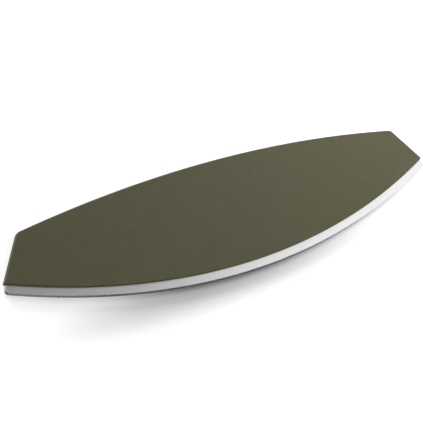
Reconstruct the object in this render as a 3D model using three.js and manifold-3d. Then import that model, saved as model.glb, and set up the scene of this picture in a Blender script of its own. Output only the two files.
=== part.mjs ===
// Rocking knife for pizza and herbs: a curved steel blade with its tang pinned between two moulded covers.
// Sizes are in millimetres. X runs along the knife, Y from the cutting edge to the spine, Z through it.
// The knife lies flat on its rear cover, and the origin is on that face, under the middle of the outline.

import * as THREE from "three";
import { mergeVertices } from "three/addons/utils/BufferGeometryUtils.js";
import Module from "manifold-3d";

// Outline of the covers
const LOWER_CORNER_SPAN = 370; // between the lower corners, where the lip meets the ends
const SPINE_CORNER_SPAN = 331; // between the upper corners, where the spine meets the ends
const END_HEIGHT = 29; // from a lower corner up to the spine corner above it
const SPINE_CROWN = 13.1; // how far the spine arches above its corners
const LIP_DROP = 35.2; // how far the lip over the blade sags below its corners
const SPINE_CORNER_RADIUS = 3.5; // rounding of the spine corners

// Walls of the covers
const COVER_WALL = 1.5; // between the tang and the outer face
const COVER_EDGE_RADIUS = 0.7; // rounding round the outer face
const LOWER_CORNER_EASE = 0.2; // the lower corners are rounded this much more than the outer face
const RIM_WIDTH = 4; // from the tang out to the spine and the ends

// Blade
const BLADE_THICKNESS = 1.5;
const BLADE_REACH = 7; // from the lip out to the cutting edge, in the middle
const BLADE_END_REACH = 6.3; // the same at the ends, as the cutting edge curves more than the lip
const BLADE_END_INSET = 0.8; // along the lip, from a lower corner in to the end of the blade
const BLADE_CORNER_RADIUS = 2.4; // rounding between the cutting edge and the ends
const GRIND_WIDTH = 1.2; // ground bevel beside the cutting edge
const EDGE_LAND = 0.2; // thickness left at the cutting edge
const TANG_CORNER_RADIUS = 3;

// Pins through the tang
const PIN_DIAMETER = 4;
const PIN_CHAMFER = 0.3;
const PIN_PITCH = 72; // along a row
const PIN_LIP_MARGIN = 14; // from the lip up to the lower row
const PIN_SPINE_MARGIN = 14; // from the spine down to the upper row
const PIN_END_MARGIN = 12; // least distance from the tang's ends
const PIN_SOCKET_DEPTH = 0.8; // blind hole in each cover

// Clearances
const TANG_CLEARANCE = 0.3; // round the tang's edge
const SHOULDER_CLEARANCE = 0.3; // between the lip and the blade's shoulders
const PIN_CLEARANCE = 0.25; // round a pin and at its ends
const CUT_SPARE = 10; // cutters run past what they cut

// Facets
const LONG_ARC_STEPS = 24; // half of the spine, lip or cutting edge
const CORNER_STEPS = 6;
const EDGE_STEPS = 4;
const PIN_STEPS = 24;

const wasm = await Module();
wasm.setup();

const QUARTER_TURN = Math.PI / 2;
const coverThickness = COVER_WALL + BLADE_THICKNESS / 2;
const lowerCornerRadius = COVER_EDGE_RADIUS + LOWER_CORNER_EASE;

/** Radius of the arc that rises by a height over a span. */
function radiusOver(span, height) {
  return (span * span / 4 + height * height) / (2 * height);
}

/** Arc with its centre on the knife's middle line. */
function centredArc(centreY, radius) {
  return { centre: new THREE.Vector2(0, centreY), radius };
}

/** The same arc, moved outwards from its centre. */
function outsetArc(arc, distance) {
  return centredArc(arc.centre.y, arc.radius + distance);
}

/** Point on an arc at an angle from the X axis. */
function pointOnArc(arc, angle) {
  return new THREE.Vector2(Math.cos(angle), Math.sin(angle)).multiplyScalar(arc.radius).add(arc.centre);
}

/** Straight cut at the right-hand end, from a point upwards. */
function endCut(point, above) {
  const along = above.clone().sub(point).normalize();
  return { point, along, outward: new THREE.Vector2(along.y, -along.x) };
}

/** The same cut, moved outwards. */
function outsetCut(cut, distance) {
  return { ...cut, point: cut.point.clone().addScaledVector(cut.outward, distance) };
}

// The curves that every outline follows

const lipRadius = radiusOver(LOWER_CORNER_SPAN, LIP_DROP);
const lip = centredArc(lipRadius - LIP_DROP, lipRadius);
const shoulder = outsetArc(lip, SHOULDER_CLEARANCE);

const spineTop = END_HEIGHT + SPINE_CROWN;
const spineRadius = radiusOver(SPINE_CORNER_SPAN, SPINE_CROWN);
const spine = centredArc(spineTop - spineRadius, spineRadius);

const coverEnd = endCut(
  new THREE.Vector2(LOWER_CORNER_SPAN / 2, 0),
  new THREE.Vector2(SPINE_CORNER_SPAN / 2, END_HEIGHT),
);

// The blade's ends are square to its edge, so each points at the centre of the lip's arc.
const bladeEndAngle = Math.asin(LOWER_CORNER_SPAN / 2 / lip.radius) - BLADE_END_INSET / lip.radius;
const bladeEnd = endCut(pointOnArc(lip, bladeEndAngle - QUARTER_TURN), lip.centre);

// The cutting edge's centre lies below the lip's, so that the blade narrows from its middle to its ends.
const edgeCentreDrop = (BLADE_REACH - BLADE_END_REACH) / (1 - Math.cos(bladeEndAngle));
const cuttingEdge = centredArc(lip.centre.y - edgeCentreDrop, lip.radius + BLADE_REACH - edgeCentreDrop);

/** Points along an arc, counter-clockwise. */
function arcPoints(arc, from, to, steps) {
  return new THREE.ArcCurve(arc.centre.x, arc.centre.y, arc.radius, from, to, false).getPoints(steps);
}

/** Fillet inside the corner of an end cut and an arc: side is 1 for the upper corner and -1 for the lower. */
function cornerFillet(cut, arc, radius, side) {
  const toLine = cut.point.clone().addScaledVector(cut.outward, -radius).sub(arc.centre);
  const alongCut = toLine.dot(cut.along);
  const halfChord = Math.sqrt(alongCut ** 2 - toLine.lengthSq() + (arc.radius - radius) ** 2);
  const fromCentre = toLine.addScaledVector(cut.along, side * halfChord - alongCut);
  return { centre: fromCentre.clone().add(arc.centre), radius, angleOnArc: fromCentre.angle() };
}

/** Outline between an upper and a lower arc, cut off alike at both ends, with its corners rounded. */
function lensOutline({ upper, lower, end, upperFillet, lowerFillet }) {
  const below = cornerFillet(end, lower, lowerFillet, -1);
  const above = cornerFillet(end, upper, upperFillet, 1);
  const endAngle = end.outward.angle();
  const rightHalf = [
    ...arcPoints(lower, -QUARTER_TURN, below.angleOnArc, LONG_ARC_STEPS),
    ...arcPoints(below, below.angleOnArc, endAngle, CORNER_STEPS).slice(1),
    ...arcPoints(above, endAngle, above.angleOnArc, CORNER_STEPS),
    ...arcPoints(upper, above.angleOnArc, QUARTER_TURN, LONG_ARC_STEPS).slice(1),
  ];
  const leftHalf = rightHalf.slice(1, -1).reverse().map((point) => new THREE.Vector2(-point.x, point.y));
  return [...rightHalf, ...leftHalf];
}

/** Outline of the band outside an arc, round the bottom of the knife. */
function bandOutline(arc, width, halfAngle) {
  const from = -QUARTER_TURN - halfAngle;
  const to = -QUARTER_TURN + halfAngle;
  const outside = arcPoints(outsetArc(arc, width), from, to, 2 * LONG_ARC_STEPS);
  const inside = arcPoints(arc, from, to, 2 * LONG_ARC_STEPS).reverse();
  return [...outside, ...inside];
}

/** Solid of a closed geometry, for joining and cutting. */
function solidOf(geometry) {
  geometry.deleteAttribute("normal");
  geometry.deleteAttribute("uv");
  const merged = mergeVertices(geometry);
  return new wasm.Manifold(new wasm.Mesh({
    numProp: 3,
    vertProperties: new Float32Array(merged.attributes.position.array),
    triVerts: new Uint32Array(merged.index.array),
  }));
}

/** Square-edged plate of an outline, centred on the parting plane. */
function plainPlate(outline, thickness) {
  const shape = new THREE.Shape(outline);
  const geometry = new THREE.ExtrudeGeometry(shape, { depth: thickness, bevelEnabled: false });
  return solidOf(geometry.translate(0, 0, -thickness / 2));
}

/** Plate centred on the parting plane, with a bevel inside its outline on both faces. */
function bevelledPlate(outline, thickness, { depth, width, steps }) {
  const straight = thickness - 2 * depth;
  const geometry = new THREE.ExtrudeGeometry(new THREE.Shape(outline), {
    depth: straight,
    bevelEnabled: true,
    bevelThickness: depth,
    bevelSize: width,
    bevelOffset: -width,
    bevelSegments: steps,
  });
  return solidOf(geometry.translate(0, 0, -straight / 2));
}

/** Centres of the pins: a row above the lip, and a row below the spine that is half a pitch out of step. */
function pinCentres() {
  const endMargin = RIM_WIDTH + PIN_END_MARGIN;
  const lowerRow = outsetArc(lip, -PIN_LIP_MARGIN);
  const upperRow = outsetArc(spine, -PIN_SPINE_MARGIN);
  const lowerReach = Math.floor((LOWER_CORNER_SPAN / 2 - endMargin) / PIN_PITCH);
  const upperReach = Math.floor((SPINE_CORNER_SPAN / 2 - endMargin) / PIN_PITCH - 0.5) + 0.5;
  const centres = [];
  for (let place = -lowerReach; place <= lowerReach; place += 1) {
    centres.push(pointOnArc(lowerRow, place * PIN_PITCH / lowerRow.radius - QUARTER_TURN));
  }
  for (let place = -upperReach; place <= upperReach; place += 1) {
    centres.push(pointOnArc(upperRow, QUARTER_TURN - place * PIN_PITCH / upperRow.radius));
  }
  return centres;
}

/** Round outline about a centre. */
function circleOutline(centre, radius) {
  return arcPoints({ centre, radius }, 0, 2 * Math.PI, PIN_STEPS).slice(1);
}

/** Cuts the holes that the pins sit in. */
function drillPinHoles(body, centres, depth) {
  const radius = PIN_DIAMETER / 2 + PIN_CLEARANCE;
  const drill = (rest, centre) => rest.subtract(plainPlate(circleOutline(centre, radius), depth));
  return centres.reduce(drill, body);
}

/** Steel plate with a ground edge along the lip and a tang, narrower than the blade, inside the covers. */
function makeBlade(centres) {
  const ground = bevelledPlate(
    lensOutline({
      upper: outsetArc(spine, CUT_SPARE),
      lower: cuttingEdge,
      end: bladeEnd,
      upperFillet: BLADE_CORNER_RADIUS,
      lowerFillet: BLADE_CORNER_RADIUS,
    }),
    BLADE_THICKNESS,
    { depth: (BLADE_THICKNESS - EDGE_LAND) / 2, width: GRIND_WIDTH, steps: 1 },
  );
  const tang = plainPlate(
    lensOutline({
      upper: outsetArc(spine, -RIM_WIDTH),
      lower: outsetArc(cuttingEdge, CUT_SPARE),
      end: outsetCut(coverEnd, -RIM_WIDTH),
      upperFillet: TANG_CORNER_RADIUS,
      lowerFillet: TANG_CORNER_RADIUS,
    }),
    BLADE_THICKNESS + CUT_SPARE,
  );
  const spareAngle = CUT_SPARE / shoulder.radius;
  const strip = plainPlate(
    bandOutline(shoulder, BLADE_REACH + CUT_SPARE, bladeEndAngle + spareAngle),
    BLADE_THICKNESS + 2 * CUT_SPARE,
  );
  return drillPinHoles(tang.add(strip).intersect(ground), centres, BLADE_THICKNESS + CUT_SPARE);
}

/** Cover above the parting plane: a rounded plate with a pocket for the tang and blind sockets for pins. */
function makeCover(centres) {
  const bothCovers = bevelledPlate(
    lensOutline({
      upper: spine,
      lower: lip,
      end: coverEnd,
      upperFillet: SPINE_CORNER_RADIUS,
      lowerFillet: lowerCornerRadius,
    }),
    2 * coverThickness,
    { depth: COVER_EDGE_RADIUS, width: COVER_EDGE_RADIUS, steps: EDGE_STEPS },
  );
  const pocket = plainPlate(
    lensOutline({
      upper: outsetArc(spine, TANG_CLEARANCE - RIM_WIDTH),
      lower: outsetArc(lip, CUT_SPARE),
      end: outsetCut(coverEnd, TANG_CLEARANCE - RIM_WIDTH),
      upperFillet: TANG_CORNER_RADIUS + TANG_CLEARANCE,
      lowerFillet: TANG_CORNER_RADIUS,
    }),
    BLADE_THICKNESS,
  );
  const depth = coverThickness + CUT_SPARE;
  const otherSide = new THREE.BoxGeometry(LOWER_CORNER_SPAN + CUT_SPARE, LOWER_CORNER_SPAN, depth);
  otherSide.translate(0, 0, -depth / 2);
  const shell = bothCovers.subtract(solidOf(otherSide)).subtract(pocket);
  return drillPinHoles(shell, centres, BLADE_THICKNESS + 2 * PIN_SOCKET_DEPTH);
}

/** Chamfered dowel pin about its own centre. */
function makePin() {
  const length = BLADE_THICKNESS + 2 * (PIN_SOCKET_DEPTH - PIN_CLEARANCE);
  const outline = circleOutline(new THREE.Vector2(0, 0), PIN_DIAMETER / 2);
  return bevelledPlate(outline, length, { depth: PIN_CHAMFER, width: PIN_CHAMFER, steps: 1 });
}

/** Named mesh of a solid. */
function meshOf(name, body, material) {
  const { vertProperties, triVerts } = body.getMesh();
  const geometry = new THREE.BufferGeometry();
  geometry.setAttribute("position", new THREE.BufferAttribute(vertProperties, 3));
  geometry.setIndex(new THREE.BufferAttribute(triVerts, 1));
  geometry.computeVertexNormals();
  const mesh = new THREE.Mesh(geometry, material);
  mesh.name = name;
  return mesh;
}

const olivePlastic = { color: 0x565443, roughness: 0.6, metalness: 0 };
const brushedSteel = { color: 0xc4c5c6, roughness: 0.32, metalness: 1 };
const pinSteel = { color: 0xa7a9ab, roughness: 0.4, metalness: 1 };

// The parting plane lies at half the knife's thickness, and the outline is centred from edge to spine.
const knife = new THREE.Group();
const edgeBottom = -(LIP_DROP + BLADE_REACH);
knife.position.set(0, -(spineTop + edgeBottom) / 2, coverThickness);

const centres = pinCentres();
knife.add(meshOf("blade", makeBlade(centres), new THREE.MeshStandardMaterial(brushedSteel)));

// The rear cover is the same moulding, turned over about the knife's middle line.
const cover = makeCover(centres);
knife.add(meshOf("front_cover", cover, new THREE.MeshStandardMaterial(olivePlastic)));
const rearCover = meshOf("rear_cover", cover, new THREE.MeshStandardMaterial(olivePlastic));
rearCover.rotation.y = Math.PI;
knife.add(rearCover);

const pinBody = makePin();
centres.forEach((centre, index) => {
  const pin = meshOf(`tang_pin_${index + 1}`, pinBody, new THREE.MeshStandardMaterial(pinSteel));
  pin.position.set(centre.x, centre.y, 0);
  knife.add(pin);
});

const part = new THREE.Group();
part.add(knife);

export default part;
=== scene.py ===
"""Looks of the pizza and herb knife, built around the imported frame.

The knife lies flat on its rear cover: X runs along it, Y from the cutting edge to the spine, and Z out of the
front cover. Meshes are drawn in millimetres and scaled to metres when they are finished.
"""

import logging
import math
from abc import ABC, abstractmethod
from collections.abc import Iterable, Mapping, Sequence
from dataclasses import dataclass, field
from enum import Enum
from typing import Any

import bmesh
import bpy
from bmesh.types import BMEdge, BMesh, BMFace, BMVert
from mathutils import Matrix, Quaternion, Vector


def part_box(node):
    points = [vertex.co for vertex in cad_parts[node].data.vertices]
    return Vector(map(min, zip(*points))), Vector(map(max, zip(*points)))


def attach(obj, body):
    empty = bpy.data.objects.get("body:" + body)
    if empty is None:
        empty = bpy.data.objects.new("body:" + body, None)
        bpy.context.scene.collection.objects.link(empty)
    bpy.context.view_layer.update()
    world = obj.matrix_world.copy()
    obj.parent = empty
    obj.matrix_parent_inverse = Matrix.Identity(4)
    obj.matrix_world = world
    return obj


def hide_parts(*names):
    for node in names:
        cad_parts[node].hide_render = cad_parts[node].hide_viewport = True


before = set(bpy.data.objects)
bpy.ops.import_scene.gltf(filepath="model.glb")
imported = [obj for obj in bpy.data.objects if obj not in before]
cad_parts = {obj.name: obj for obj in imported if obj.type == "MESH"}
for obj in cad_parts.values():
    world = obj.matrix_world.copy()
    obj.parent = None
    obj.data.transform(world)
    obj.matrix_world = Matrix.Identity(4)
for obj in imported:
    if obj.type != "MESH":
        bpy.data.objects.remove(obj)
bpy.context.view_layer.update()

LOG = logging.getLogger("knife")
BODY = "root"
MILLIMETRE = 0.001
MERGE_DISTANCE = 0.005  # millimetres
SHARP_ANGLE = math.radians(20)
ROUND_PROFILE = 0.5
SAME_MATERIAL = -1
UP = Vector((0, 0, 1))

Colour = tuple[float, float, float]
Place = tuple[float, float, float]


# Shader graphs


# A Mix node gives its colour sockets the names of its other sockets, so they are found by number.
MIX_SHARE = 0
MIX_FIRST = 6
MIX_SECOND = 7
MIX_RESULT = 2

# Middle of a noise and of a mix, which run from 0 to 1.
MIDDLE = 0.5


class Shade:
    """Output of a shader node that takes part in Python sums."""

    def __init__(self, graph: "Graph", socket: bpy.types.NodeSocket) -> None:
        """Keeps the socket and the graph that it belongs to."""
        self.graph = graph
        self.socket = socket

    def __add__(self, other: "Shade | float") -> "Shade":
        """Sum of two values."""
        return self.graph.maths("ADD", self, other)

    def __sub__(self, other: "Shade | float") -> "Shade":
        """Difference of two values."""
        return self.graph.maths("SUBTRACT", self, other)

    def __rsub__(self, other: float) -> "Shade":
        """Difference of a number and this value."""
        return self.graph.maths("SUBTRACT", other, self)

    def __mul__(self, other: "Shade | float") -> "Shade":
        """Product of two values."""
        return self.graph.maths("MULTIPLY", self, other)

    def __truediv__(self, other: "Shade | float") -> "Shade":
        """Quotient of two values."""
        return self.graph.maths("DIVIDE", self, other)

    __radd__ = __add__
    __rmul__ = __mul__


class Graph:
    """Node tree of a material or of the world, written as expressions."""

    def __init__(self, tree: bpy.types.NodeTree) -> None:
        """Empties the tree."""
        tree.nodes.clear()
        self.tree = tree

    def node(
        self,
        kind: str,
        settings: Mapping[str, Any] | None = None,
        sockets: Mapping[str | int, Any] | None = None,
        output: str | int = 0,
    ) -> Shade | None:
        """Adds a node.

        Args:
            kind: Blender's name of the node's type.
            settings: The node's own settings, set first.
            sockets: Values or links of the node's inputs, by name or number.
            output: The output that is used, by name or number.

        Returns:
            The output, or None for a node that has none.
        """
        made = self.tree.nodes.new(kind)
        for name, setting in (settings or {}).items():
            setattr(made, name, setting)
        for name, value in (sockets or {}).items():
            if isinstance(value, Shade):
                self.tree.links.new(value.socket, made.inputs[name])
            else:
                made.inputs[name].default_value = value
        return Shade(self, made.outputs[output]) if made.outputs else None

    def maths(self, operation: str, *values: "Shade | float") -> Shade:
        """Result of a Math node on values and numbers."""
        return self.node("ShaderNodeMath", {"operation": operation}, dict(enumerate(values)))

    def blend(self, share: Shade, first: Colour, second: Colour) -> Shade:
        """Mixes two colours.

        Args:
            share: How much of the second colour there is, from 0 to 1.
            first: Linear colour at a share of 0.
            second: Linear colour at a share of 1.

        Returns:
            The mixed colour.
        """
        sockets = {MIX_SHARE: share, MIX_FIRST: (*first, 1.0), MIX_SECOND: (*second, 1.0)}
        return self.node("ShaderNodeMix", {"data_type": "RGBA"}, sockets, output=MIX_RESULT)

    def place(self) -> Shade:
        """Place on the piece, in metres."""
        return self.node("ShaderNodeTexCoord", output="Object")

    def vector(self, x: "Shade | float", y: "Shade | float", z: "Shade | float") -> Shade:
        """Vector of three values."""
        return self.node("ShaderNodeCombineXYZ", None, {"X": x, "Y": y, "Z": z})

    def part(self, vector: Shade, axis: str) -> Shade:
        """Value of a vector along one axis."""
        return self.node("ShaderNodeSeparateXYZ", None, {"Vector": vector}, output=axis)

    def noise(self, vector: Shade, size: float, detail: float = 2.0, distortion: float = 0.0) -> Shade:
        """Soft noise about a half.

        Args:
            vector: Where the noise is read.
            size: Size of its features, in the vector's unit.
            detail: Number of finer layers.
            distortion: How much the features swirl.

        Returns:
            The noise, from 0 to 1.
        """
        sockets = {"Vector": vector, "Scale": 1 / size, "Detail": detail, "Distortion": distortion}
        return self.node("ShaderNodeTexNoise", None, sockets)

    def rise(self, value: Shade, start: float, end: float) -> Shade:
        """Smooth rise from 0 to 1.

        Args:
            value: What is followed.
            start: Value at which the rise starts.
            end: Value at which it is complete.

        Returns:
            The rise.
        """
        sockets = {"Value": value, "From Min": start, "From Max": end}
        return self.node("ShaderNodeMapRange", {"interpolation_type": "SMOOTHSTEP"}, sockets)

    def bump(self, height: Shade, depth: float) -> Shade:
        """Normal of a surface that rises with a height.

        Args:
            height: Height, from 0 to 1.
            depth: How far the surface rises, in metres.

        Returns:
            The bumped normal.
        """
        sockets = {"Strength": 1.0, "Distance": depth, "Height": height}
        return self.node("ShaderNodeBump", None, sockets, output="Normal")

    def surface(self, shader: Shade, kind: str = "ShaderNodeOutputMaterial") -> None:
        """Makes a shader the surface of the material or of the world."""
        self.node(kind, None, {"Surface": shader})


# Finishes


@dataclass(frozen=True)
class Finish(ABC):
    """Finish of a surface, made as one material."""

    name: str

    def material(self) -> bpy.types.Material:
        """Makes the material.

        Returns:
            The material, with its node tree filled.
        """
        made = bpy.data.materials.new(self.name)
        made.use_nodes = True
        graph = Graph(made.node_tree)
        graph.surface(self.shader(graph))
        return made

    @abstractmethod
    def shader(self, graph: Graph) -> Shade:
        """Adds the nodes of the finish.

        Args:
            graph: The material's graph.

        Returns:
            The shader.
        """


@dataclass(frozen=True)
class OlivePlastic(Finish):
    """Matt moulded plastic with a fine spark-eroded grain and a faint mottle."""

    name: str = "olive_plastic"
    dark_tone: Colour = (0.072, 0.069, 0.038)
    light_tone: Colour = (0.094, 0.091, 0.052)
    mottle_size: float = 0.022
    mottle_detail: float = 4.0
    mottle_swirl: float = 0.6
    mottle_share: float = 0.4
    speckle_size: float = 0.0028
    speckle_detail: float = 3.0
    speckle_share: float = 1.0
    grain_size: float = 0.00035
    grain_depth: float = 0.00002
    roughness: float = 0.62
    roughness_swing: float = 0.16
    specular_level: float = 0.12
    edge_attribute: str = "edge_rub"
    edge_share: float = 0.15
    edge_polish: float = 0.10

    def shader(self, graph: Graph) -> Shade:
        """Adds the nodes of the finish.

        Args:
            graph: The material's graph.

        Returns:
            The shader.
        """
        place = graph.place()
        mottle = graph.noise(place, self.mottle_size, self.mottle_detail, self.mottle_swirl) - MIDDLE
        speckle = graph.noise(place, self.speckle_size, self.speckle_detail) - MIDDLE
        grain = graph.noise(place, self.grain_size)
        rub = graph.node("ShaderNodeAttribute", {"attribute_name": self.edge_attribute}, output="Fac")
        tint = MIDDLE + mottle * self.mottle_share + speckle * self.speckle_share + rub * self.edge_share
        sheen = self.roughness + (mottle + speckle) * self.roughness_swing
        sockets = {
            "Base Color": graph.blend(tint, self.dark_tone, self.light_tone),
            "Roughness": sheen - rub * self.edge_polish,
            "Specular IOR Level": self.specular_level,
            "Normal": graph.bump(grain, self.grain_depth),
        }
        return graph.node("ShaderNodeBsdfPrincipled", None, sockets)


@dataclass(frozen=True)
class BrushedSteel(Finish):
    """Stainless steel brushed along the blade, so that its streaks follow the lip's arc."""

    name: str = "brushed_steel"
    centre_y: float = field(kw_only=True)
    arc_radius: float = field(kw_only=True)
    dark_tone: Colour = (0.44, 0.445, 0.45)
    light_tone: Colour = (0.56, 0.56, 0.56)
    streak_width: float = 0.00022
    streak_length: float = 0.03
    streak_share: float = 0.6
    fine_width: float = 0.00006
    fine_length: float = 0.006
    fine_share: float = 0.4
    streak_depth: float = 0.000004
    cloud_size: float = 0.03
    cloud_swing: float = 0.08
    roughness: float = 0.38
    roughness_swing: float = 0.18

    def along_and_across(self, graph: Graph) -> tuple[Shade, Shade]:
        """Finds the place along the lip's arc and across it.

        Args:
            graph: The material's graph.

        Returns:
            Metres along the arc and metres from its centre.
        """
        place = graph.place()
        x = graph.part(place, "X")
        below = self.centre_y - graph.part(place, "Y")
        along = graph.maths("ARCTAN2", x, below) * self.arc_radius
        across = graph.maths("SQRT", x * x + below * below)
        return along, across

    def streaks(self, graph: Graph, along: Shade, across: Shade, length: float, width: float) -> Shade:
        """Noise that is drawn out along the blade.

        Args:
            graph: The material's graph.
            along: Metres along the arc.
            across: Metres from its centre.
            length: Length of a streak in metres.
            width: Width of a streak in metres.

        Returns:
            The noise, from 0 to 1.
        """
        height = graph.part(graph.place(), "Z")
        drawn_out = graph.vector(along / length, across / width, height / width)
        return graph.noise(drawn_out, 1.0)

    def shader(self, graph: Graph) -> Shade:
        """Adds the nodes of the finish.

        Args:
            graph: The material's graph.

        Returns:
            The shader.
        """
        along, across = self.along_and_across(graph)
        coarse = self.streaks(graph, along, across, self.streak_length, self.streak_width)
        fine = self.streaks(graph, along, across, self.fine_length, self.fine_width)
        cloud = graph.noise(graph.place(), self.cloud_size)
        streak = coarse * self.streak_share + fine * self.fine_share
        sheen = self.roughness + (streak - MIDDLE) * self.roughness_swing
        sockets = {
            "Base Color": graph.blend(streak, self.dark_tone, self.light_tone),
            "Metallic": 1.0,
            "Roughness": sheen + (cloud - MIDDLE) * self.cloud_swing,
            "Normal": graph.bump(streak, self.streak_depth),
        }
        return graph.node("ShaderNodeBsdfPrincipled", None, sockets)


@dataclass(frozen=True)
class GroundSteel(BrushedSteel):
    """The same steel where it is ground to the cutting edge, with fine scratches across the edge."""

    name: str = "ground_steel"
    light_tone: Colour = (0.58, 0.58, 0.585)
    streak_width: float = 0.004
    streak_length: float = 0.00012
    fine_width: float = 0.0015
    fine_length: float = 0.00004
    roughness: float = 0.27


@dataclass(frozen=True)
class DrawnSteel(Finish):
    """Plain drawn steel of the pins, with faint lines along them."""

    name: str = "drawn_steel"
    dark_tone: Colour = (0.36, 0.365, 0.37)
    light_tone: Colour = (0.48, 0.48, 0.485)
    line_width: float = 0.0001
    line_length: float = 0.004
    line_depth: float = 0.000003
    roughness: float = 0.34
    roughness_swing: float = 0.2

    def shader(self, graph: Graph) -> Shade:
        """Adds the nodes of the finish.

        Args:
            graph: The material's graph.

        Returns:
            The shader.
        """
        place = graph.place()
        x, y, z = (graph.part(place, axis) for axis in "XYZ")
        drawn_out = graph.vector(x / self.line_width, y / self.line_width, z / self.line_length)
        lines = graph.noise(drawn_out, 1.0)
        sockets = {
            "Base Color": graph.blend(lines, self.dark_tone, self.light_tone),
            "Metallic": 1.0,
            "Roughness": self.roughness + (lines - MIDDLE) * self.roughness_swing,
            "Normal": graph.bump(lines, self.line_depth),
        }
        return graph.node("ShaderNodeBsdfPrincipled", None, sockets)


@dataclass(frozen=True)
class PaleFloor(Finish):
    """Matt pale floor, white where seen, with the knife's real shadow and a painted shadow before the blade.

    Its glow is there for the camera and for reflections alone. It is held back in a long pool before the
    blade, which paints a shadow there on top of the real one, and grows from there to near_glow and then to
    far_glow away from the knife.
    """

    name: str = "pale_floor"
    tone: Colour = (0.7, 0.7, 0.7)
    roughness: float = 0.9
    # These fields place the pool of painted shadow before the blade, where the glow is held back.
    painted_shadow_x: float = -0.037
    painted_shadow_y: float = -0.041
    painted_shadow_half_length: float = 0.17
    painted_shadow_half_width: float = 0.0225
    painted_shadow_core: float = 0.1
    near_glow: float = 0.4
    far_glow: float = 1.0
    near_radius: float = 0.1
    far_radius: float = 0.36

    def shader(self, graph: Graph) -> Shade:
        """Adds the nodes of the finish.

        Args:
            graph: The material's graph.

        Returns:
            The shader.
        """
        rays = ("Is Camera Ray", "Is Glossy Ray", "Is Transmission Ray")
        camera, glossy, transmission = (graph.node("ShaderNodeLightPath", output=ray) for ray in rays)
        seen = graph.maths("MAXIMUM", graph.maths("MAXIMUM", camera, glossy), transmission)
        place = graph.place()
        x = (graph.part(place, "X") - self.painted_shadow_x) / self.painted_shadow_half_length
        y = (graph.part(place, "Y") - self.painted_shadow_y) / self.painted_shadow_half_width
        pool = graph.maths("SQRT", x * x + y * y)
        away = graph.node("ShaderNodeVectorMath", {"operation": "LENGTH"}, {0: place}, output="Value")
        # Painted shadow: the glow is held back inside the pool before the blade.
        near = graph.rise(pool, self.painted_shadow_core, 1.0) * self.near_glow
        far = graph.rise(away, self.near_radius, self.far_radius) * (self.far_glow - self.near_glow)
        sockets = {
            "Base Color": (*self.tone, 1.0),
            "Roughness": self.roughness,
            "Specular IOR Level": 0.0,
            "Emission Color": seen * (near + far),
            "Emission Strength": 1.0,
        }
        return graph.node("ShaderNodeBsdfPrincipled", None, sockets)


# Outline


@dataclass(frozen=True)
class Arc:
    """Arc with its centre on the knife's middle line."""

    centre_y: float
    radius: float

    @classmethod
    def over(cls, span: float, ends_y: float, sag: float) -> "Arc":
        """Arc over a span.

        Args:
            span: Distance between its ends.
            ends_y: Height of its ends.
            sag: How far it falls below its ends, or rises above them if negative.

        Returns:
            The arc.
        """
        radius = (span * span / 4 + sag * sag) / (2 * abs(sag))
        return cls(ends_y - sag + math.copysign(radius, sag), radius)

    def outset(self, distance: float) -> "Arc":
        """The same arc, moved outwards from its centre."""
        return Arc(self.centre_y, self.radius + distance)

    def point(self, angle: float) -> Vector:
        """Point at an angle from straight down."""
        return Vector((math.sin(angle), -math.cos(angle), 0)) * self.radius + Vector((0, self.centre_y, 0))

    def angle_of(self, point: Vector) -> float:
        """Angle of a point from straight down."""
        return math.atan2(point.x, self.centre_y - point.y)


@dataclass(frozen=True)
class EndCut:
    """Straight cut at the right-hand end, from a point upwards."""

    foot: Vector
    along: Vector

    def inset(self, distance: float) -> "EndCut":
        """The same cut, moved towards the middle."""
        inward = Vector((-self.along.y, self.along.x, 0))
        return EndCut(self.foot + inward * distance, self.along)

    def meet(self, arc: Arc, side: int) -> Vector:
        """Finds where the cut meets an arc.

        Args:
            arc: The arc.
            side: 1 for the upper crossing, -1 for the lower one.

        Returns:
            The crossing.
        """
        from_centre = self.foot - Vector((0, arc.centre_y, 0))
        middle = -from_centre.dot(self.along)
        reach = math.sqrt(middle * middle - from_centre.length_squared + arc.radius * arc.radius)
        return self.foot + self.along * (middle + side * reach)


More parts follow.
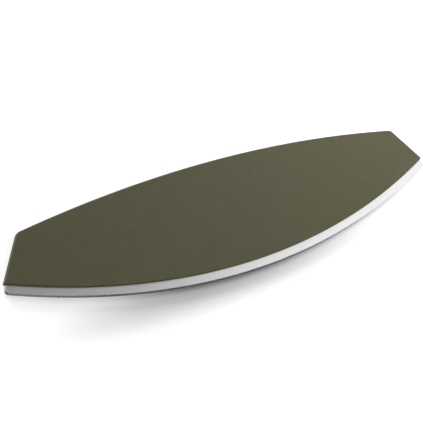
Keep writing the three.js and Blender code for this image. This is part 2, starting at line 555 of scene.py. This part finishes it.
@dataclass(frozen=True)
class KnifeOutline:
    """Curves that the covers and the blade share, in millimetres from the frame's middle line.

    The heights of the spine, the lip and the cutting edge come from the frame.
    """

    spine_top: float
    lip_bottom: float
    edge_bottom: float
    lower_corner_span: float = 370.0
    spine_corner_span: float = 331.0
    end_height: float = 29.0
    lip_drop: float = 35.2
    blade_end_inset: float = 0.8
    blade_end_reach: float = 6.3

    @classmethod
    def from_frame(cls) -> "KnifeOutline":
        """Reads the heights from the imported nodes.

        Returns:
            The outline.
        """
        cover_low, cover_high = (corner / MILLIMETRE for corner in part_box("front_cover"))
        blade_low, _ = (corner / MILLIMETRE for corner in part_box("blade"))
        return cls(spine_top=cover_high.y, lip_bottom=cover_low.y, edge_bottom=blade_low.y)

    @property
    def lower_corner(self) -> Vector:
        """Right-hand corner of the lip and the end."""
        return Vector((self.lower_corner_span / 2, self.lip_bottom + self.lip_drop, 0))

    @property
    def spine_corner(self) -> Vector:
        """Right-hand corner of the end and the spine."""
        return Vector((self.spine_corner_span / 2, self.lower_corner.y + self.end_height, 0))

    @property
    def lip(self) -> Arc:
        """Lower edge of the covers."""
        return Arc.over(self.lower_corner_span, self.lower_corner.y, self.lip_drop)

    @property
    def spine(self) -> Arc:
        """Upper edge of the covers."""
        crown = self.spine_top - self.spine_corner.y
        return Arc.over(self.spine_corner_span, self.spine_corner.y, -crown)

    @property
    def blade_end_angle(self) -> float:
        """Angle from the middle of the lip's arc to the blade's end."""
        return self.lip.angle_of(self.lower_corner) - self.blade_end_inset / self.lip.radius

    @property
    def cutting_edge(self) -> Arc:
        """Lower edge of the blade, which curves more than the lip, so that the blade narrows to its ends."""
        reach = self.lip_bottom - self.edge_bottom
        centre_drop = (reach - self.blade_end_reach) / (1 - math.cos(self.blade_end_angle))
        return Arc(self.lip.centre_y - centre_drop, self.lip.radius + reach - centre_drop)

    @property
    def blade_end(self) -> EndCut:
        """Right-hand end of the blade, square to the lip."""
        foot = self.lip.point(self.blade_end_angle)
        return EndCut(foot, (Vector((0, self.lip.centre_y, 0)) - foot).normalized())

    @property
    def end(self) -> EndCut:
        """Right-hand end of the covers."""
        along = (self.spine_corner - self.lower_corner).normalized()
        return EndCut(self.lower_corner, along)


# Modelling helpers


class HalfWire:
    """Chain of edges along the right half of an outline, drawn by spinning and extruding its tip."""

    def __init__(self, bm: BMesh, start: "BMVert | Vector") -> None:
        """Starts the wire.

        Args:
            bm: The mesh to draw in.
            start: A vertex, or a point that becomes one.
        """
        self.bm = bm
        self.tip = start if isinstance(start, BMVert) else bm.verts.new(start)
        self.edges: list[BMEdge] = []

    def sweep(self, arc: Arc, end: Vector, steps: int) -> None:
        """Carries the tip along an arc.

        Args:
            arc: The arc, on which the tip already lies.
            end: Point on the arc to stop at.
            steps: Number of edges.
        """
        known = set(self.bm.edges)
        turn = arc.angle_of(end) - arc.angle_of(self.tip.co)
        turn = (turn + math.pi) % math.tau - math.pi
        made = bmesh.ops.spin(
            self.bm, geom=[self.tip], cent=(0, arc.centre_y, 0), axis=UP, angle=turn, steps=steps
        )
        self.tip = made["geom_last"][0]
        self.tip.co = end
        self.edges += [edge for edge in self.bm.edges if edge not in known]

    def line(self, end: Vector) -> None:
        """Carries the tip along a straight line.

        Args:
            end: Point to stop at.
        """
        made = bmesh.ops.extrude_vert_indiv(self.bm, verts=[self.tip])
        self.tip = made["verts"][0]
        self.tip.co = end
        self.edges += made["edges"]

    def mark(self, layer: Any, stretch: "Stretch") -> None:
        """Marks the wire's edges, so that they can be told apart after the mirroring."""
        for edge in self.edges:
            edge[layer] = stretch.value


def mirror_wires(bm: BMesh) -> None:
    """Adds the left half of all wires."""
    bmesh.ops.mirror(bm, geom=[*bm.verts, *bm.edges], axis="X", merge_dist=MERGE_DISTANCE)


def vert_at(bm: BMesh, point: Vector) -> BMVert:
    """Vertex that is nearest to a point."""
    return min(bm.verts, key=lambda vert: (vert.co - point).length_squared)


def face_at(bm: BMesh, point: Vector) -> BMFace:
    """Face at a point of an outline, where it has no neighbour."""
    return vert_at(bm, point).link_faces[0]


def round_corners(bm: BMesh, corner: Vector, radius: float, turn: float, segments: int) -> None:
    """Rounds a corner of a flat outline and its mirror image.

    Args:
        bm: The mesh, with the outline filled.
        corner: The right-hand corner.
        radius: Radius of the rounding.
        turn: Angle by which the outline turns at the corner.
        segments: Number of edges round the corner.
    """
    mirrored = Vector((-corner.x, corner.y, corner.z))
    bmesh.ops.bevel(
        bm,
        geom=[vert_at(bm, corner), vert_at(bm, mirrored)],
        affect="VERTICES",
        offset=radius * math.tan(turn / 2),
        segments=segments,
        profile=ROUND_PROFILE,
        material=SAME_MATERIAL,
    )


def bevel_edges(bm: BMesh, edges: list[BMEdge], width: float, segments: int) -> list[BMFace]:
    """Bevels edges.

    Args:
        bm: The mesh.
        edges: The edges.
        width: Width of the bevel on either face.
        segments: Number of faces across the bevel.

    Returns:
        The bevel's faces.
    """
    made = bmesh.ops.bevel(
        bm,
        geom=edges,
        affect="EDGES",
        offset=width,
        segments=segments,
        profile=ROUND_PROFILE,
        material=SAME_MATERIAL,
        clamp_overlap=True,
    )
    return made["faces"]


def fill(bm: BMesh, edges: list[BMEdge]) -> BMFace:
    """Fills a closed loop of edges."""
    return bmesh.ops.edgeloop_fill(bm, edges=edges)["faces"][0]


def extrude(bm: BMesh, faces: list[BMFace], rise: float, keep_start: bool = False) -> list[BMFace]:
    """Extrudes flat faces along Z.

    Args:
        bm: The mesh.
        faces: The faces.
        rise: How far they go.
        keep_start: Whether the faces stay, to close the near end of a new solid.

    Returns:
        The faces at the far end.
    """
    made = bmesh.ops.extrude_face_region(bm, geom=faces)["geom"]
    moved = [item for item in made if isinstance(item, BMVert)]
    bmesh.ops.translate(bm, vec=UP * rise, verts=moved)
    if not keep_start:
        bmesh.ops.delete(bm, geom=faces, context="FACES_ONLY")
    return [item for item in made if isinstance(item, BMFace)]


def open_holes(
    bm: BMesh, face: BMFace, centres: Sequence[Vector], radius: float, segments: int
) -> list[BMFace]:
    """Cuts discs out of a flat face.

    Args:
        bm: The mesh.
        face: The face, which is filled again round the discs.
        centres: Centres of the discs.
        radius: Radius of a disc.
        segments: Number of edges round a disc.

    Returns:
        The discs.
    """
    level = face.verts[0].co.z
    edges = list(face.edges)
    bmesh.ops.delete(bm, geom=[face], context="FACES_ONLY")
    discs = []
    for centre in centres:
        place = Matrix.Translation((centre.x, centre.y, level))
        ring = bmesh.ops.create_circle(bm, cap_ends=True, segments=segments, radius=radius, matrix=place)
        disc = ring["verts"][0].link_faces[0]
        discs.append(disc)
        edges += disc.edges
    bmesh.ops.triangle_fill(bm, edges=edges, use_beauty=True, normal=UP)
    return discs


def flat_faces(bm: BMesh, level: float) -> list[BMFace]:
    """Faces that lie flat at a height."""
    return [face for face in bm.faces if all(abs(vert.co.z - level) < MERGE_DISTANCE for vert in face.verts)]


def added(name: str, data: bpy.types.ID) -> bpy.types.Object:
    """Adds an object to the scene.

    Args:
        name: The object's name.
        data: Its mesh, lamp or camera.

    Returns:
        The object, at the origin.
    """
    made = bpy.data.objects.new(name, data)
    bpy.context.scene.collection.objects.link(made)
    return made


def aimed(name: str, data: bpy.types.ID, place: Place, target: Place, roll: float = 0.0) -> bpy.types.Object:
    """Adds a lamp or a camera that looks at a point.

    Args:
        name: The object's name.
        data: The lamp or the camera.
        place: Where it stands.
        target: The point.
        roll: Turn about its line of sight.

    Returns:
        The object.
    """
    holder = added(name, data)
    holder.location = place
    holder.rotation_mode = "QUATERNION"
    look = (Vector(target) - Vector(place)).to_track_quat("-Z", "Y")
    holder.rotation_quaternion = look @ Quaternion(UP, roll)
    return holder


def mesh_object(bm: BMesh, name: str, materials: Sequence[bpy.types.Material]) -> bpy.types.Object:
    """Adds a mesh to the scene.

    Args:
        bm: The mesh in metres, which is freed.
        name: The object's name.
        materials: Its materials, in the order of the faces' numbers.

    Returns:
        The object, at the origin with its place in its mesh.
    """
    mesh = bpy.data.meshes.new(name)
    bm.to_mesh(mesh)
    bm.free()
    for material in materials:
        mesh.materials.append(material)
    return added(name, mesh)


def edges_of(faces: Iterable[BMFace]) -> list[BMEdge]:
    """Edges of faces, each of them once and always in the same order."""
    return list(dict.fromkeys(edge for face in faces for edge in face.edges))


def finished_piece(bm: BMesh, name: str, materials: Sequence[bpy.types.Material]) -> bpy.types.Object:
    """Turns a mesh in millimetres into a piece of the knife.

    Args:
        bm: The mesh, which is freed.
        name: The piece's name.
        materials: Its materials, in the order of the faces' numbers.

    Returns:
        The piece, at the origin with its place in its mesh.
    """
    bmesh.ops.scale(bm, vec=(MILLIMETRE,) * 3, verts=bm.verts)
    bmesh.ops.recalc_face_normals(bm, faces=bm.faces)
    for face in bm.faces:
        face.smooth = True
    for edge in bm.edges:
        edge.smooth = edge.calc_face_angle(math.pi) < SHARP_ANGLE
    piece = mesh_object(bm, name, materials)
    normals = piece.modifiers.new("even_normals", "WEIGHTED_NORMAL")
    normals.keep_sharp = True
    return piece


def stand_for(piece: bpy.types.Object, node: str) -> None:
    """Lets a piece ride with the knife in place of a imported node.

    Args:
        piece: The piece.
        node: The node that it stands for.
    """
    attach(piece, BODY)
    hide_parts(node)
    LOG.info("%s stands for %s with %d faces", piece.name, node, len(piece.data.polygons))


# Pins


@dataclass
class TangPins:
    """Nine dowel pins through the tang, kept as packed and dressed."""

    prefix: str = "tang_pin_"
    finish: DrawnSteel = field(default_factory=DrawnSteel)

    @property
    def names(self) -> list[str]:
        """Names of the pins' nodes."""
        return sorted(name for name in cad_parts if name.startswith(self.prefix))

    def centres(self) -> list[Vector]:
        """Centres of the pins in millimetres."""
        boxes = (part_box(name) for name in self.names)
        return [(low + high) / 2 / MILLIMETRE for low, high in boxes]

    def radius(self) -> float:
        """Radius of a pin in millimetres."""
        low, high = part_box(self.names[0])
        return (high.x - low.x) / 2 / MILLIMETRE

    def dress(self) -> None:
        """Gives every pin its finish."""
        steel = self.finish.material()
        for name in self.names:
            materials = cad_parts[name].data.materials
            materials.clear()
            materials.append(steel)
            LOG.info("%s is dressed as it is packed", name)


# Covers


class Stretch(Enum):
    """Stretches of a cover's plan."""

    MOUTH = 1
    OUTSIDE = 2
    STEP = 3


class Side(Enum):
    """The two covers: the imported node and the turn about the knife's height axis."""

    FRONT = ("front_cover", 0.0)
    REAR = ("rear_cover", math.pi)

    @property
    def node(self) -> str:
        """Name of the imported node."""
        return self.value[0]

    @property
    def turn(self) -> float:
        """Turn about Y from the front cover's place."""
        return self.value[1]


@dataclass
class Cover:
    """Moulded cover: a flat plate with a rounded rim, a pocket for the tang and sockets for the pins."""

    side: Side
    outline: KnifeOutline
    pins: TangPins
    finish: OlivePlastic
    wall: float = 1.5
    edge_radius: float = 0.7
    spine_corner_radius: float = 3.5
    lower_corner_radius: float = 0.9
    pocket_margin: float = 3.7
    parting_chamfer: float = 0.16
    socket_depth: float = 0.8
    socket_clearance: float = 0.25
    arc_steps: int = 44
    short_steps: int = 2
    corner_segments: int = 10
    edge_segments: int = 7
    socket_segments: int = 32

    @property
    def parting_height(self) -> float:
        """Height of the plane where the covers meet, in millimetres."""
        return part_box(Side.REAR.node)[1].z / MILLIMETRE

    @property
    def pocket_depth(self) -> float:
        """Depth of the pocket below the parting plane."""
        return self.parting_height - self.wall

    def build(self, plastic: bpy.types.Material) -> bpy.types.Object:
        """Models the cover.

        Args:
            plastic: Its material.

        Returns:
            The piece.
        """
        bm = bmesh.new()
        rim, pocket = self._plan(bm)
        outer = extrude(bm, [rim, pocket], self.wall, keep_start=True)
        bmesh.ops.dissolve_faces(bm, faces=outer, use_verts=True)
        extrude(bm, [rim], -self.pocket_depth)
        self._sink_sockets(bm, pocket)
        self._ease_edges(bm)
        self._put_in_place(bm)
        return finished_piece(bm, f"olive_{self.side.node}", [plastic])

    def _plan(self, bm: BMesh) -> tuple[BMFace, BMFace]:
        """Draws the plan at the pocket's level.

        Args:
            bm: The mesh to draw in.

        Returns:
            The rim's face and the pocket's face.
        """
        layer = bm.edges.layers.int.new("stretch")
        lines = self.outline
        end = lines.end.inset(self.pocket_margin)
        roof = lines.spine.outset(-self.pocket_margin)
        mouth_end = end.meet(lines.lip, -1)
        mouth = HalfWire(bm, lines.lip.point(0))
        mouth.sweep(lines.lip, mouth_end, self.arc_steps)
        outside = HalfWire(bm, mouth.tip)
        step = HalfWire(bm, mouth.tip)
        outside.sweep(lines.lip, lines.lower_corner, self.short_steps)
        outside.line(lines.spine_corner)
        outside.sweep(lines.spine, lines.spine.point(math.pi), self.arc_steps)
        step.line(end.meet(roof, 1))
        step.sweep(roof, roof.point(math.pi), self.arc_steps)
        mouth.mark(layer, Stretch.MOUTH)
        outside.mark(layer, Stretch.OUTSIDE)
        step.mark(layer, Stretch.STEP)
        mirror_wires(bm)
        rim_edges = [edge for edge in bm.edges if edge[layer] != Stretch.MOUTH.value]
        pocket_edges = [edge for edge in bm.edges if edge[layer] != Stretch.OUTSIDE.value]
        fill(bm, rim_edges)
        fill(bm, pocket_edges)
        self._round_corners(bm)
        return face_at(bm, lines.spine.point(math.pi)), face_at(bm, lines.lip.point(0))

    def _round_corners(self, bm: BMesh) -> None:
        """Rounds the corners of the ends.

        Args:
            bm: The mesh, with the plan filled.
        """
        lines = self.outline
        for corner, arc, radius in (
            (lines.lower_corner, lines.lip, self.lower_corner_radius),
            (lines.spine_corner, lines.spine, self.spine_corner_radius),
        ):
            from_centre = corner - Vector((0, arc.centre_y, 0))
            tangent = Vector((-from_centre.y, from_centre.x, 0))
            turn = tangent.angle(lines.end.along)
            round_corners(bm, corner, radius, turn, self.corner_segments)

    def _sink_sockets(self, bm: BMesh, pocket: BMFace) -> None:
        """Sinks a blind socket for each pin into the pocket's floor.

        Args:
            bm: The mesh.
            pocket: The pocket's floor.
        """
        radius = self.pins.radius() + self.socket_clearance
        discs = open_holes(bm, pocket, self.pins.centres(), radius, self.socket_segments)
        extrude(bm, discs, self.socket_depth)

    def _ease_edges(self, bm: BMesh) -> None:
        """Rounds the outer face's rim and eases the edges where the covers meet.

        Args:
            bm: The mesh.
        """
        rub = bm.faces.layers.float.new(self.finish.edge_attribute)
        outer_edges = edges_of(flat_faces(bm, self.wall))
        for face in bevel_edges(bm, outer_edges, self.edge_radius, self.edge_segments):
            face[rub] = 1.0
        rim_edges = edges_of(flat_faces(bm, -self.pocket_depth))
        bevel_edges(bm, rim_edges, self.parting_chamfer, 1)

    def _put_in_place(self, bm: BMesh) -> None:
        """Moves the cover from the pocket's level to its side of the knife.

        Args:
            bm: The mesh.
        """
        turn = Matrix.Rotation(self.side.turn, 3, "Y")
        bmesh.ops.translate(bm, vec=UP * self.pocket_depth, verts=bm.verts)
        bmesh.ops.rotate(bm, cent=(0, 0, 0), matrix=turn, verts=bm.verts)
        bmesh.ops.translate(bm, vec=UP * self.parting_height, verts=bm.verts)

    def dress(self, piece: bpy.types.Object) -> None:
        """Sets the cover in the frame."""
        stand_for(piece, self.side.node)


# Blade


@dataclass
class Blade:
    """Steel plate with a ground edge below the lip and a tang inside the covers."""

    outline: KnifeOutline
    pins: TangPins
    shoulder_clearance: float = 0.3
    corner_radius: float = 2.4
    tang_margin: float = 4.0
    tang_corner_radius: float = 3.0
    grind_width: float = 1.2
    edge_land: float = 0.2
    hole_clearance: float = 0.25
    arc_steps: int = 48
    short_steps: int = 2
    corner_segments: int = 12
    hole_segments: int = 32

    @property
    def thickness(self) -> float:
        """Thickness of the plate in millimetres."""
        low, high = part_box("blade")
        return (high.z - low.z) / MILLIMETRE

    def finishes(self) -> list[BrushedSteel]:
        """Finishes of the flat and of the ground edge, which follow the lip's arc."""
        lip = self.outline.lip
        arc = {"centre_y": lip.centre_y * MILLIMETRE, "arc_radius": lip.radius * MILLIMETRE}
        return [BrushedSteel(**arc), GroundSteel(**arc)]

    def build(self) -> bpy.types.Object:
        """Models the blade.

        Returns:
            The piece.
        """
        bm = bmesh.new()
        self._plan(bm)
        self._thicken_and_grind(bm)
        self._drill(bm)
        low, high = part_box("blade")
        bmesh.ops.translate(bm, vec=UP * ((low.z + high.z) / 2 / MILLIMETRE), verts=bm.verts)
        return finished_piece(bm, "ground_blade", [finish.material() for finish in self.finishes()])

    def _plan(self, bm: BMesh) -> None:
        """Draws the outline of blade and tang, with rounded corners.

        Args:
            bm: The mesh to draw in.
        """
        lines = self.outline
        edge = lines.cutting_edge
        edge_corner = lines.blade_end.meet(edge, -1)
        shoulder = lines.lip.outset(self.shoulder_clearance)
        tang_end = lines.end.inset(self.tang_margin)
        tang_spine = lines.spine.outset(-self.tang_margin)
        tang_corner = tang_end.meet(tang_spine, 1)
        wire = HalfWire(bm, edge.point(0))
        wire.sweep(edge, edge_corner, self.arc_steps)
        wire.line(shoulder.point(lines.blade_end_angle))
        wire.sweep(shoulder, tang_end.meet(shoulder, -1), self.short_steps)
        wire.line(tang_corner)
        wire.sweep(tang_spine, tang_spine.point(math.pi), self.arc_steps)
        mirror_wires(bm)
        fill(bm, list(bm.edges))
        round_corners(bm, edge_corner, self.corner_radius, math.pi / 2, self.corner_segments)
        tang_turn = tang_end.along.angle(Vector((-1, 0, 0)))
        round_corners(bm, tang_corner, self.tang_corner_radius, tang_turn, self.corner_segments)

    def _thicken_and_grind(self, bm: BMesh) -> None:
        """Gives the plate its thickness and grinds both sides of the exposed edge.

        The grind is wider than it is deep, so the plate is stretched along Z while an even bevel is cut.

        Args:
            bm: The mesh, with the outline filled.
        """
        grind_depth = (self.thickness - self.edge_land) / 2
        stretch = self.grind_width / grind_depth
        height = self.thickness * stretch
        extrude(bm, list(bm.faces), height, keep_start=True)
        bmesh.ops.translate(bm, vec=UP * (-height / 2), verts=bm.verts)
        exposed = [edge for level in (-height / 2, height / 2) for edge in self._exposed_edges(bm, level)]
        for face in bevel_edges(bm, exposed, self.grind_width, 1):
            face.material_index = 1
        bmesh.ops.scale(bm, vec=(1, 1, 1 / stretch), verts=bm.verts)

    def _exposed_edges(self, bm: BMesh, level: float) -> list[BMEdge]:
        """Edges of a flat side that stand out of the covers.

        Args:
            bm: The mesh.
            level: Height of the side.

        Returns:
            The edges along the cutting edge and the blade's ends.
        """
        lip = self.outline.lip
        centre = Vector((0, lip.centre_y, level))
        shoulder = lip.radius + self.shoulder_clearance
        found = []
        for edge in edges_of(flat_faces(bm, level)):
            reaches = [(vert.co - centre).length for vert in edge.verts]
            if min(reaches) > shoulder - MERGE_DISTANCE and max(reaches) > shoulder + MERGE_DISTANCE:
                found.append(edge)
        return found

    def _drill(self, bm: BMesh) -> None:
        """Drills the pin holes through the tang.

        Args:
            bm: The mesh.
        """
        radius = self.pins.radius() + self.hole_clearance
        discs = []
        for level in (-self.thickness / 2, self.thickness / 2):
            face = flat_faces(bm, level)[0]
            discs.append(open_holes(bm, face, self.pins.centres(), radius, self.hole_segments))
        for low_disc, high_disc in zip(*discs):
            rims = [*low_disc.edges, *high_disc.edges]
            bmesh.ops.delete(bm, geom=[low_disc, high_disc], context="FACES_ONLY")
            bmesh.ops.bridge_loops(bm, edges=rims)

    def dress(self, piece: bpy.types.Object) -> None:
        """Sets the blade in the frame."""
        stand_for(piece, "blade")


# Studio


@dataclass(frozen=True)
class Softbox:
    """Rectangular studio lamp that is aimed at a point."""

    name: str
    place: Place
    target: Place
    width: float
    height: float
    radiance: float

    def build(self) -> None:
        """Adds the lamp, out of the camera's sight."""
        lamp = bpy.data.lights.new(self.name, "AREA")
        lamp.shape = "RECTANGLE"
        lamp.size = self.width
        lamp.size_y = self.height
        lamp.energy = self.radiance * self.width * self.height * math.pi
        holder = aimed(self.name, lamp, self.place, self.target)
        holder.visible_camera = False


@dataclass
class Studio:
    """Pale floor that turns up at its far edge, soft lamps and a dim fill from all round.

    The key and low_back light the covers from behind the spine. The ceiling lights the left of the blade's
    strip, slope its middle and edge_light its right. The front lights the ground edge at the left, low_front
    the wall under the lip, and end_light and left_end the knife's two ends.
    """

    floor_radius: float = 5.0
    cove_radius: float = 0.8
    wall_height: float = 1.0
    cove_steps: int = 12
    round_steps: int = 96
    merge_distance: float = 0.005
    fill_level: float = 0.11
    finish: PaleFloor = field(default_factory=PaleFloor)
    lamps: tuple[Softbox, ...] = (
        Softbox("ceiling", (0.0, 1.0, 1.6), (0.0, 1.0, 0.0), 2.8, 2.2, 0.25),
        Softbox("key", (0.0, 1.05, 0.75), (0.0, 0.0, 0.0), 0.9, 0.8, 1.6),
        Softbox("low_back", (-0.1, 2.83, 0.6), (0.0, 0.0, 0.0), 2.2, 0.6, 30.5),
        Softbox("slope", (0.75, 0.25, 0.95), (0.0, 0.0, 0.0), 0.7, 0.7, 0.68),
        Softbox("front", (-0.2, -0.8, 0.75), (-0.15, 0.0, 0.0), 0.5, 0.4, 0.28),
        Softbox("low_front", (-0.2, -0.9, 0.14), (-0.1, 0.0, 0.0), 1.2, 0.24, 2.8),
        Softbox("edge_light", (0.42, 0.02, 0.25), (0.17, 0.0, 0.0), 0.66, 0.52, 1.04),
        Softbox("end_light", (0.36, 0.25, 0.22), (0.15, 0.0, 0.0), 0.3, 0.3, 3.7),
        Softbox("left_end", (-0.79, 0.55, 0.88), (-0.185, 0.0, 0.0), 0.4, 0.4, 0.6),
    )

    def build(self) -> None:
        """Builds the floor, the lamps and the fill."""
        self._floor()
        for lamp in self.lamps:
            lamp.build()
            LOG.info("lamp %s is set", lamp.name)
        self._fill()
        bpy.context.scene.view_settings.view_transform = "Standard"

    def _floor(self) -> None:
        """Spins the floor's section round the knife."""
        bm = bmesh.new()
        centre = bm.verts.new((0, 0, 0))
        edge = bmesh.ops.extrude_vert_indiv(bm, verts=[centre])["verts"][0]
        edge.co = Vector((self.floor_radius, 0, 0))
        pivot = (self.floor_radius, 0, self.cove_radius)
        turned = bmesh.ops.spin(
            bm, geom=[edge], cent=pivot, axis=(0, -1, 0), angle=math.pi / 2, steps=self.cove_steps
        )
        top = bmesh.ops.extrude_vert_indiv(bm, verts=[turned["geom_last"][0]])["verts"][0]
        bmesh.ops.translate(bm, vec=UP * self.wall_height, verts=[top])
        bmesh.ops.spin(
            bm,
            geom=[*bm.verts, *bm.edges],
            cent=(0, 0, 0),
            axis=UP,
            angle=math.tau,
            steps=self.round_steps,
            use_merge=True,
        )
        bmesh.ops.remove_doubles(bm, verts=bm.verts, dist=self.merge_distance)
        bmesh.ops.recalc_face_normals(bm, faces=bm.faces)
        floor = mesh_object(bm, "floor", [self.finish.material()])
        LOG.info("floor is laid")

    def _fill(self) -> None:
        """Lights the scene dimly from all round."""
        world = bpy.data.worlds.new("fill")
        world.use_nodes = True
        graph = Graph(world.node_tree)
        sockets = {"Color": (1.0, 1.0, 1.0, 1.0), "Strength": self.fill_level}
        graph.surface(graph.node("ShaderNodeBackground", None, sockets), "ShaderNodeOutputWorld")
        bpy.context.scene.world = world


@dataclass(frozen=True)
class PhotoCamera:
    """Camera at the photograph's viewing angle, with the knife lying flat under it."""

    place: Place = (-0.399393, -0.092975, 0.572437)
    target: Place = (-0.024791, 0.006718, 0.0045)
    roll: float = math.radians(55.673)
    clip_start: float = 0.01
    sensor_width: float = 36.0
    focal_pixels: float = 983.0
    image_pixels: float = 423.0

    def build(self) -> None:
        """Adds the camera, whose focal length is given in pixels of the image."""
        camera = bpy.data.cameras.new("photo_camera")
        camera.sensor_width = self.sensor_width
        camera.lens = self.sensor_width * self.focal_pixels / self.image_pixels
        camera.clip_start = self.clip_start
        bpy.context.scene.camera = aimed("photo_camera", camera, self.place, self.target, self.roll)


def main() -> None:
    """Builds the camera, the knife and the studio."""
    logging.basicConfig(level=logging.INFO, format="%(name)s: %(message)s")
    PhotoCamera().build()
    outline = KnifeOutline.from_frame()
    pins = TangPins()
    pins.dress()
    blade = Blade(outline, pins)
    blade.dress(blade.build())
    finish = OlivePlastic()
    plastic = finish.material()
    for side in Side:
        cover = Cover(side, outline, pins, finish)
        cover.dress(cover.build(plastic))
    Studio().build()


if __name__ == "__main__":
    main()
